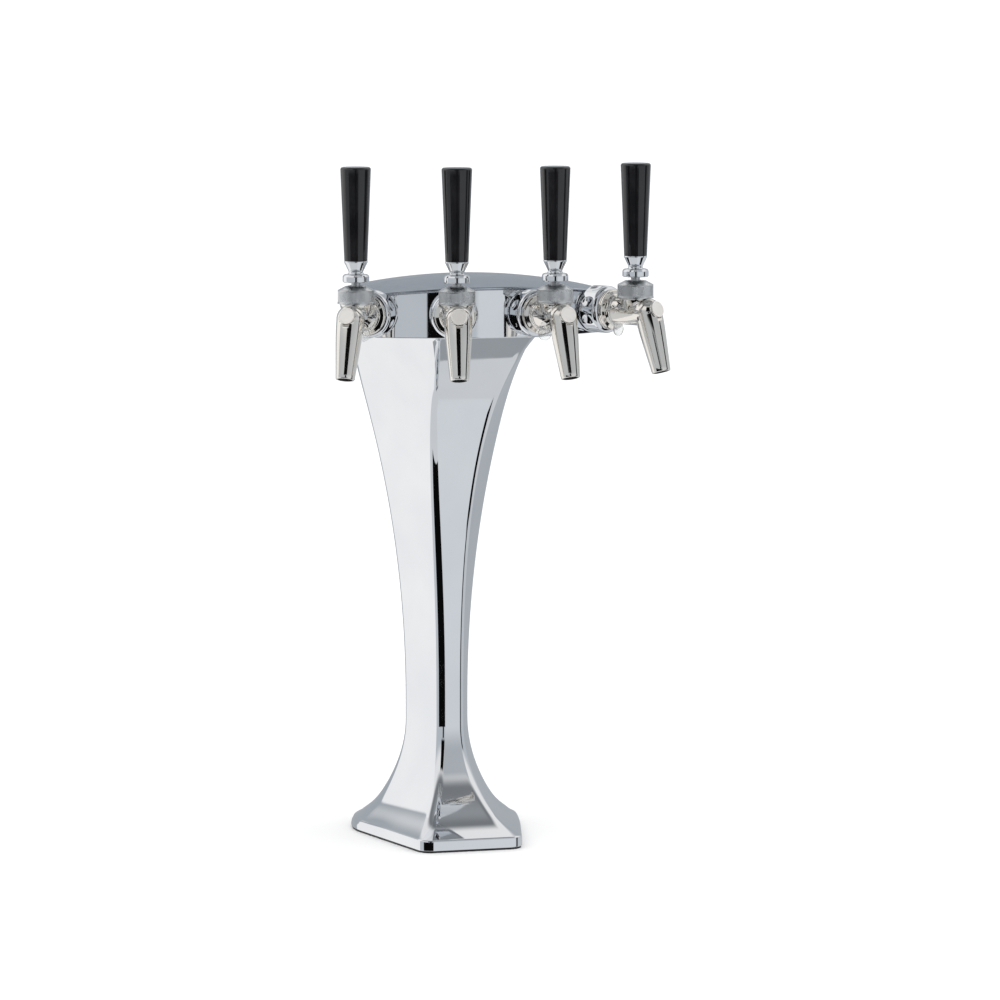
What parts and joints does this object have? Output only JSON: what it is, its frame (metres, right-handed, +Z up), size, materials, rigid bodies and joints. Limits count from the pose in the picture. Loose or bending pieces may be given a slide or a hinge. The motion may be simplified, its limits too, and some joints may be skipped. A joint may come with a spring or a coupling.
{
  "type": "beer tap tower",
  "caption": "Counter-mounted drinks tower: a flared hexagonal column with a fan-shaped domed head and forward-sealing taps with tall tapered lever handles.",
  "frame": {"origin": "centre of the foot's underside, on the counter top, on the column's axis", "axes": "+Z up along the column; the taps face -Y; +X is to the right of somebody who looks along +Y at the taps"},
  "size_m": [0.346, 0.4307, 0.7146],
  "materials": {
    "chrome": "mirror-polished chrome plate",
    "cover_chrome": "polished chrome plate",
    "nickel": "polished stainless steel with a warm tone",
    "satin_steel": "fine knurled, satin",
    "steel": "turned stainless steel",
    "aluminium": "machined",
    "copper": "drawn copper tube",
    "seal_rubber": "matt",
    "nylon": "natural nylon",
    "clear_plastic": "clear, slightly milky",
    "handle_black": "glossy moulded"
  },
  "bodies": {
    "tower": {"foot_gasket": "seal_rubber", "foot_plate": "steel", "column_shell": "chrome", "head_shell": "chrome", "head_cover": "cover_chrome", "cover_screws": "steel", "cold_block": "aluminium", "beer_lines": "steel", "coolant_lines": "copper", "line_clip": "nylon", "shank_lock_nuts": "steel", "coupling_gaskets": "seal_rubber", "elbow_discs": "nickel", "tab_washers": "clear_plastic", "ball_seats": "nylon", "shank_1": "chrome", "shank_2": "chrome", "shank_3": "chrome", "shank_4": "chrome", "coupling_nut_1": "chrome", "coupling_nut_2": "chrome", "coupling_nut_3": "chrome", "coupling_nut_4": "chrome", "tap_body_1": "nickel", "tap_body_2": "nickel", "tap_body_3": "nickel", "tap_body_4": "nickel", "bonnet_1": "satin_steel", "bonnet_2": "satin_steel", "bonnet_3": "satin_steel", "bonnet_4": "satin_steel"},
    "lever_1_body": {"lever_1": "steel", "jam_nut_1": "chrome", "ferrule_1": "chrome", "handle_1": "handle_black"},
    "valve_1_body": {"valve_shaft_1": "steel", "valve_seal_1": "seal_rubber"},
    "lever_2_body": {"lever_2": "steel", "jam_nut_2": "chrome", "ferrule_2": "chrome", "handle_2": "handle_black"},
    "valve_2_body": {"valve_shaft_2": "steel", "valve_seal_2": "seal_rubber"},
    "lever_3_body": {"lever_3": "steel", "jam_nut_3": "chrome", "ferrule_3": "chrome", "handle_3": "handle_black"},
    "valve_3_body": {"valve_shaft_3": "steel", "valve_seal_3": "seal_rubber"},
    "lever_4_body": {"lever_4": "steel", "jam_nut_4": "chrome", "ferrule_4": "chrome", "handle_4": "handle_black"},
    "valve_4_body": {"valve_shaft_4": "steel", "valve_seal_4": "seal_rubber"}
  },
  "joints": [
    {"name": "lever_1_pull", "type": "hinge", "parent": "tower", "child": "lever_1_body", "pos_m": [-0.14514, -0.24646, 0.5865], "axis": [0.8513, -0.5247, 0], "range_deg": [0, 25]},
    {"name": "valve_1_slide", "type": "slide", "parent": "tower", "child": "valve_1_body", "axis": [0.5247, 0.8513, 0], "range_m": [0, 0.0085]},
    {"name": "lever_2_pull", "type": "hinge", "parent": "tower", "child": "lever_2_body", "pos_m": [-0.05064, -0.28292, 0.5865], "axis": [0.9831, -0.1831, 0], "range_deg": [0, 25]},
    {"name": "valve_2_slide", "type": "slide", "parent": "tower", "child": "valve_2_body", "axis": [0.1831, 0.9831, 0], "range_m": [0, 0.0085]},
    {"name": "lever_3_pull", "type": "hinge", "parent": "tower", "child": "lever_3_body", "pos_m": [0.05064, -0.28292, 0.5865], "axis": [0.9831, 0.1831, 0], "range_deg": [0, 25]},
    {"name": "valve_3_slide", "type": "slide", "parent": "tower", "child": "valve_3_body", "axis": [-0.1831, 0.9831, 0], "range_m": [0, 0.0085]},
    {"name": "lever_4_pull", "type": "hinge", "parent": "tower", "child": "lever_4_body", "pos_m": [0.14514, -0.24646, 0.5865], "axis": [0.8513, 0.5247, 0], "range_deg": [0, 25]},
    {"name": "valve_4_slide", "type": "slide", "parent": "tower", "child": "valve_4_body", "axis": [-0.5247, 0.8513, 0], "range_m": [0, 0.0085]}
  ],
  "couplings": [
    {"joint": "valve_1_slide", "follows": "lever_1_pull", "m_per_rad": 0.019},
    {"joint": "valve_2_slide", "follows": "lever_2_pull", "m_per_rad": 0.019},
    {"joint": "valve_3_slide", "follows": "lever_3_pull", "m_per_rad": 0.019},
    {"joint": "valve_4_slide", "follows": "lever_4_pull", "m_per_rad": 0.019}
  ]
}
